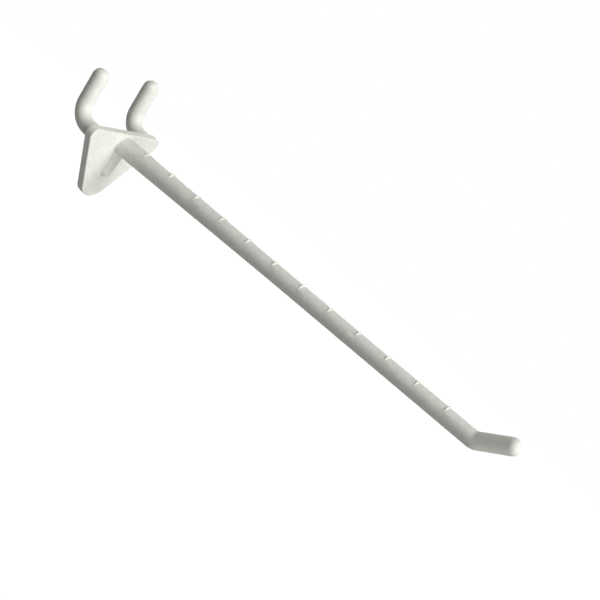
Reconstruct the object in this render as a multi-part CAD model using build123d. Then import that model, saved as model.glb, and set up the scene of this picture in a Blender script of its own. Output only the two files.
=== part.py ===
from build123d import *
from math import asin, atan2, cos, floor, hypot, radians, sin, tan
import os

# One-piece moulded nylon hook for perforated board.
# Two bent prongs go through the board, a rounded triangular plate bears on its front,
# and a long tapering arm with an upturned tip carries the goods.
# Millimetres and degrees. X runs across the prongs, Y into the board, Z up.
# The origin is on the plate's back face, midway between the prongs and level with their stubs.

# Prongs
prong_spacing = 25.4
prong_diameter = 5.1
prong_stub = 2.9
prong_bend_radius = 5.45
prong_lean = 4.6
prong_upright = 8.4

# Plate
plate_height = 23.3
plate_thickness = 2.4
plate_top_cover = 0.05
plate_side_cover = 1.0
plate_corner_radius = 2.3
plate_apex_radius = 6.2
plate_edge_rounding = 0.3

# Arm, its distances measured along its axis from the plate's front
arm_length = 138.3
arm_root_diameter = 6.2
arm_slim_diameter = 5.2
arm_end_diameter = 5.1
arm_slim_distance = 65.2
arm_rise = 5.0
arm_root_fillet = 0.4
arm_top_land = 0.05

# Tip, its length measured along its axis from the corner of the bend to the centre of the round end
tip_length = 10.5
tip_angle = 30.5
tip_bend_radius = 3.2

# Brace under the arm's root
brace_root_diameter = 4.2
brace_foot_diameter = 3.5
brace_drop = 9.7

# Ridges across the arm's top, with flanks at 45 degrees
ridge_pitch = 10.75
ridge_first_distance = 9.5
ridge_end_gap = 10.0
ridge_height = 0.38
ridge_crest_width = 0.25
ridge_half_angle = 52.0

# Sizes that follow from those above.
# A flat land stays between the plate's rounded top and the arm's root fillet.
prong_radius = prong_diameter / 2
plate_top = prong_radius + plate_top_cover
arm_root_reach = arm_root_fillet / tan(radians(90 - arm_rise) / 2)
arm_top = plate_top - plate_edge_rounding - arm_top_land - arm_root_reach
arm_height = arm_top - arm_root_diameter / 2 / cos(radians(arm_rise))

# Directions of the arm's axis, and of the line square to it through the ridges
arm_along = Vector(0, -cos(radians(arm_rise)), sin(radians(arm_rise)))
arm_up = Vector(0, sin(radians(arm_rise)), cos(radians(arm_rise)))


def plate_side_slope():
    """Angle of a side edge above the horizontal: it touches the apex circle and clears the prong."""
    across = prong_spacing / 2
    down = plate_height - plate_top - plate_apex_radius
    gain = plate_apex_radius - prong_radius - plate_side_cover
    return atan2(down, across) + asin(gain / hypot(across, down))


def plate():
    """Rounded triangle with its sharp corners found from the side edges, then softened in front."""
    slope = plate_side_slope()
    apex_centre = plate_top - plate_height + plate_apex_radius
    sharp_apex = apex_centre - plate_apex_radius / cos(slope)
    sharp_half_width = (plate_top - sharp_apex) / tan(slope)
    corners = [(-sharp_half_width, plate_top), (sharp_half_width, plate_top), (0, sharp_apex)]
    outline = make_face(Polyline(*corners, close=True))
    lowest = outline.vertices().sort_by(Axis.Y)[0]
    outline = fillet(lowest, plate_apex_radius)
    upper = outline.vertices().group_by(Axis.Y)[-1]
    outline = fillet(upper, plate_corner_radius)
    slab = extrude(Plane.XZ * outline, plate_thickness)
    front_edges = slab.edges().group_by(Axis.Y)[0]
    return fillet(front_edges, plate_edge_rounding)


def prong(side):
    """Round bar: a straight stub through the board, a bend, and a leaning upright with a domed end."""
    start = -plate_thickness / 2
    stub = Line((start, 0), (prong_stub, 0))
    bend = JernArc(stub @ 1, stub % 1, prong_bend_radius, 90 - prong_lean)
    upright = PolarLine(bend @ 1, prong_upright, direction=bend % 1)
    seat = Plane((side * prong_spacing / 2, 0, 0), x_dir=(0, 1, 0), z_dir=(1, 0, 0))
    route = seat * Wire([stub, bend, upright])
    bar = sweep(Plane(route @ 0, z_dir=route % 0) * Circle(prong_radius), route)
    return bar + Pos(*(route @ 1)) * Sphere(prong_radius)


def arm_radius(distance):
    """Radius at a distance along the arm: it falls to the slim size, then hardly changes."""
    if distance < arm_slim_distance:
        share = distance / arm_slim_distance
        return (arm_root_diameter + (arm_slim_diameter - arm_root_diameter) * share) / 2
    share = (distance - arm_slim_distance) / (arm_length - arm_slim_distance)
    return (arm_slim_diameter + (arm_end_diameter - arm_slim_diameter) * share) / 2


def arm_section(distance):
    """Plane across the arm, centred on its axis."""
    centre = Vector(0, -plate_thickness, arm_height) + arm_along * distance
    return Plane(centre, x_dir=(1, 0, 0), z_dir=arm_along)


# Round pieces are made standing on their base
on_base = (Align.CENTER, Align.CENTER, Align.MIN)


def arm_taper(first, last):
    """One straight taper of the arm."""
    bar = Cone(arm_radius(first), arm_radius(last), last - first, align=on_base)
    return arm_section(first) * bar


def tip_bend_start():
    """Distance along the arm at which the tip's bend begins."""
    return arm_length - tip_bend_radius * tan(radians(tip_angle) / 2)


def arm():
    """Straight round bar that rises from inside the plate to the tip's bend."""
    inside_plate = -plate_thickness / 2
    return arm_taper(inside_plate, arm_slim_distance) + arm_taper(arm_slim_distance, tip_bend_start())


def tip():
    """Short upturned end of the arm, with a tight bend and a domed end."""
    start = arm_section(tip_bend_start())
    end_radius = arm_radius(tip_bend_start())
    heading = Plane.YZ.to_local_coords(arm_along)
    bend = JernArc(Plane.YZ.to_local_coords(start.origin), heading, tip_bend_radius, -tip_angle)
    straight = PolarLine(bend @ 1, tip_length - arm_length + tip_bend_start(), direction=bend % 1)
    route = Plane.YZ * Wire([bend, straight])
    bar = sweep(start * Circle(end_radius), route)
    return bar + Pos(*(route @ 1)) * Sphere(end_radius)


def brace():
    """Half-round tongue down the plate's front from under the arm's root, with a round foot."""
    root_radius = brace_root_diameter / 2
    foot_radius = brace_foot_diameter / 2
    foot = Vector(0, -plate_thickness, arm_height - brace_drop)
    bar = Pos(*foot) * Cone(foot_radius, root_radius, brace_drop, align=on_base)
    return bar + Pos(*foot) * Sphere(foot_radius)


def ridge(distance):
    """Bevelled rim of a small disc sunk in the arm, so that the ridge fades out down both sides."""
    radius = arm_radius(distance)
    crest = radius + ridge_height
    rise = (crest**2 - radius**2) / (2 * (crest - radius * cos(radians(ridge_half_angle))))
    rim = crest - rise
    half = Cylinder(rim, ridge_crest_width / 2, align=on_base)
    half = half + Pos(0, 0, ridge_crest_width / 2) * Cone(rim, 0, rim, align=on_base)
    disc = half + mirror(half, Plane.XY)
    centre = arm_section(distance).origin + arm_up * rise
    return Plane(centre, z_dir=arm_along) * disc


def ridge_distances():
    """Places of the ridges along the top, as many as fit before the tip's bend."""
    room = arm_length - ridge_first_distance - ridge_end_gap
    count = floor(room / ridge_pitch) + 1
    return [ridge_first_distance + ridge_pitch * number for number in range(count)]


def round_the_root(body):
    """Fillet where the arm and its brace rise out of the plate's front."""
    front = Plane((0, -plate_thickness, 0), z_dir=(0, -1, 0))
    faces = body.faces().filter_by(Plane.XZ)
    face = min(faces, key=lambda one: abs(front.to_local_coords(one.center()).Z))
    roots = [edge for wire in face.inner_wires() for edge in wire.edges()]
    return fillet(roots, arm_root_fillet)


def peg_hook():
    """The whole moulding."""
    body = plate() + arm() + brace()
    body = round_the_root(body)
    body = body + tip() + prong(-1) + prong(1)
    for distance in ridge_distances():
        body = body + ridge(distance)
    return body


os.makedirs("parts", exist_ok=True)
hook = peg_hook()
export_step(hook, "parts/peg_hook.step")
print("peg_hook", len(hook.solids()), "solid", round(hook.volume), "mm3")
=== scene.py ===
import math

import bpy
from mathutils import Matrix, Vector


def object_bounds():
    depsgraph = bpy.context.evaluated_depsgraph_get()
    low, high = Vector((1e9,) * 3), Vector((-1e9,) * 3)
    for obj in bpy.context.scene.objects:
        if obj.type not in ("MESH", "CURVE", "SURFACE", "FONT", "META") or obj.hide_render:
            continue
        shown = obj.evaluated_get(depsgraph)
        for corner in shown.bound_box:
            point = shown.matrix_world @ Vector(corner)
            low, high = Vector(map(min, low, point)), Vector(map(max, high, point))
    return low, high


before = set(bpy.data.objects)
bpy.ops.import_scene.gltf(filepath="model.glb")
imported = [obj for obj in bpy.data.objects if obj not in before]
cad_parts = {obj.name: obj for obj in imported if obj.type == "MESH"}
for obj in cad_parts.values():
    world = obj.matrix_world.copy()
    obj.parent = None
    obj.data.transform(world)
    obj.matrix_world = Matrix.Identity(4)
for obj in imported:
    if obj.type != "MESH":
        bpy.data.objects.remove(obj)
cad_low, cad_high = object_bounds()

# The camera stands to the left and in front of the hook, a little above it, and is rolled so that
# the arm runs down the picture from its upper left. Place, aim, roll and lens were fitted together
# to the edges of the plate, prongs and arm in the photograph.
camera_place = Vector((-0.335764, -0.213063, 0.123611))
camera_aim = Vector((0, -0.077653, 0.003988))
camera_roll = math.radians(37.98)
camera_lens = 82.634
camera_film = 36
camera_near = 0.01
camera_far = 20

camera_data = bpy.data.cameras.new("photograph_camera")
camera_data.lens = camera_lens
camera_data.sensor_width = camera_film
camera_data.clip_start = camera_near
camera_data.clip_end = camera_far
camera = bpy.data.objects.new("photograph_camera", camera_data)
bpy.context.scene.collection.objects.link(camera)
camera.rotation_mode = "QUATERNION"
upright = (camera_aim - camera_place).to_track_quat("-Z", "Y").to_matrix().to_4x4()
camera.matrix_world = Matrix.Translation(camera_place) @ upright @ Matrix.Rotation(camera_roll, 4, "Z")
bpy.context.scene.camera = camera

# The hook is a single moulding in unfilled nylon: prongs, plate, brace, ridged arm and tip in one.
# The nylon keeps its natural warm off-white, faintly clouded inside, and takes a satin, finely
# uneven skin from the steel of the mould.
nylon_colour = (0.985, 0.99, 0.915)
nylon_cloud_colour = (0.775, 0.785, 0.715)
cloud_size = 0.0014
cloud_detail = 3
grain_size = 0.00035
grain_detail = 2
wave_size = 0.0025
wave_detail = 1
nylon_roughness = 0.45
grain_roughness = 0.12
wave_roughness = 0.06
nylon_gloss = 0.15
skin_depth = 0.00006
skin_strength = 0.25
skin_wave_share = 0.7
noise_middle = 0.5


class Reading:
    """A value that varies over a surface. Arithmetic on it adds Math nodes."""

    def __init__(self, shading, socket):
        self.shading = shading
        self.socket = socket

    def worked(self, operation, first, second):
        inputs = {0: first, 1: second}
        return self.shading.node("ShaderNodeMath", {"operation": operation}, inputs)

    def __add__(self, other):
        return self.worked("ADD", self, other)

    def __radd__(self, other):
        return self.worked("ADD", other, self)

    def __sub__(self, other):
        return self.worked("SUBTRACT", self, other)

    def __rsub__(self, other):
        return self.worked("SUBTRACT", other, self)

    def __mul__(self, other):
        return self.worked("MULTIPLY", self, other)

    def __rmul__(self, other):
        return self.worked("MULTIPLY", other, self)


class Shading:
    """The empty node tree of a material or world, to which nodes are added."""

    def __init__(self, owner):
        owner.use_nodes = True
        self.owner = owner
        self.tree = owner.node_tree
        self.tree.nodes.clear()

    def node(self, kind, settings, inputs, output=0):
        """Adds a node with its settings, then its values or links, and returns one of its outputs.

        Sockets that share a name with another go by number.
        """
        node = self.tree.nodes.new(kind)
        for name, setting in settings.items():
            setattr(node, name, setting)
        for name, value in inputs.items():
            if isinstance(value, Reading):
                self.tree.links.new(value.socket, node.inputs[name])
            else:
                node.inputs[name].default_value = value
        return Reading(self, node.outputs[output]) if node.outputs else None

    def noise(self, size, detail):
        """Noise from 0 to 1 with blots about this many metres across."""
        place = self.node("ShaderNodeTexCoord", {}, {}, "Object")
        inputs = {"Vector": place, "Scale": 1 / size, "Detail": detail}
        return self.node("ShaderNodeTexNoise", {}, inputs, "Fac")

    def seen(self):
        """1 for what the camera sees, directly, in a reflection or through glass, and otherwise 0."""
        direct = self.node("ShaderNodeLightPath", {}, {}, "Is Camera Ray")
        reflected = self.node("ShaderNodeLightPath", {}, {}, "Is Glossy Ray")
        through = self.node("ShaderNodeLightPath", {}, {}, "Is Transmission Ray")
        return direct + reflected + through


nylon = Shading(bpy.data.materials.new("moulded_nylon"))
cloud = nylon.noise(cloud_size, cloud_detail)
grain = nylon.noise(grain_size, grain_detail)
wave = nylon.noise(wave_size, wave_detail)
colours = {"Factor": cloud, "A": (*nylon_colour, 1), "B": (*nylon_cloud_colour, 1)}
clouded = nylon.node("ShaderNodeMix", {"data_type": "RGBA"}, colours, "Result")
grain_unevenness = grain_roughness * (grain - noise_middle)
wave_unevenness = wave_roughness * (wave - noise_middle)
skin_height = skin_wave_share * wave + (1 - skin_wave_share) * grain
relief = {"Strength": skin_strength, "Distance": skin_depth, "Height": skin_height}
moulded = {
    "Base Color": clouded,
    "Roughness": nylon_roughness + grain_unevenness + wave_unevenness,
    "Normal": nylon.node("ShaderNodeBump", {}, relief),
    "Specular IOR Level": nylon_gloss,
}
plastic = nylon.node("ShaderNodeBsdfPrincipled", {}, moulded)
nylon.node("ShaderNodeOutputMaterial", {}, {"Surface": plastic})

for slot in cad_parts["peg_hook"].material_slots:
    slot.material = nylon.owner

# The floor is a round sheet of white paper far below the hook, which hangs in the air as if on its
# board. The paper looks white all over, as so thin a hook throws only a wide, faint shadow on it,
# and it throws little light back at the hook's underside.
floor_drop = 0.2
floor_radius = 0.8
floor_sides = 96
paper_level = 0.3
paper_glow = 0.9
paper_bounce = 0.09


def grey(level):
    """A colour from black at 0 to white at 1."""
    return (level, level, level, 1)


floor_z = cad_low.z - floor_drop
rim = []
for side in range(floor_sides):
    turn = 2 * math.pi * side / floor_sides
    rim.append((floor_radius * math.cos(turn), floor_radius * math.sin(turn), floor_z))
floor_mesh = bpy.data.meshes.new("paper_floor")
floor_mesh.from_pydata(rim, [], [range(floor_sides)])
floor = bpy.data.objects.new("paper_floor", floor_mesh)
bpy.context.scene.collection.objects.link(floor)

paper = Shading(bpy.data.materials.new("white_paper"))
glow = paper.node("ShaderNodeEmission", {}, {"Strength": paper_glow})
matt = paper.node("ShaderNodeBsdfDiffuse", {}, {"Color": grey(paper_level)})
white = paper.node("ShaderNodeAddShader", {}, {0: matt, 1: glow})
dim = paper.node("ShaderNodeBsdfDiffuse", {}, {"Color": grey(paper_bounce)})
sheet = paper.node("ShaderNodeMixShader", {}, {0: paper.seen(), 1: dim, 2: white})
paper.node("ShaderNodeOutputMaterial", {}, {"Surface": sheet})
floor_mesh.materials.append(paper.owner)

# The room is a plain studio with white walls. They look white, and they light the hook only softly.
wall_white = 1
room_level = 0.09

room = Shading(bpy.data.worlds.new("studio_room"))
wall_level = room_level + (wall_white - room_level) * room.seen()
walls = room.node("ShaderNodeBackground", {}, {"Color": grey(wall_white), "Strength": wall_level})
room.node("ShaderNodeOutputWorld", {}, {"Surface": walls})
bpy.context.scene.world = room.owner

# Four square soft boxes light the hook: the main one high in front, a lower one in front, a faint
# one on the left, and one behind on the right for what the photograph doesn't show. Each has its
# turn to the left of the front, its height, both in degrees, its width and its level of light.
box_distance = 1.6
soft_boxes = [
    ("main_box", 2, 50, 0.9, 0.7),
    ("low_box", 11, 0, 1.0, 0.48),
    ("side_box", 100, 8, 1.2, 0.1),
    ("back_box", -125, -8, 0.6, 0.46),
]

hook_middle = (cad_low + cad_high) / 2
for name, turn, height, width, level in soft_boxes:
    turn = math.radians(turn)
    height = math.radians(height)
    outward = Vector((-math.sin(turn), -math.cos(turn), 0))
    toward = outward * math.cos(height) + Vector((0, 0, math.sin(height)))
    lamp_data = bpy.data.lights.new(name, "AREA")
    lamp_data.shape = "SQUARE"
    lamp_data.size = width
    # At level 1, a white surface that faces the box looks white. A wider box needs a little more.
    lamp_data.energy = level * math.pi**2 * (box_distance**2 + width**2 / 3)
    lamp = bpy.data.objects.new(name, lamp_data)
    bpy.context.scene.collection.objects.link(lamp)
    lamp.location = hook_middle + toward * box_distance
    lamp.rotation_mode = "QUATERNION"
    lamp.rotation_quaternion = toward.to_track_quat("Z", "Y")

bpy.context.scene.view_settings.view_transform = "Standard"
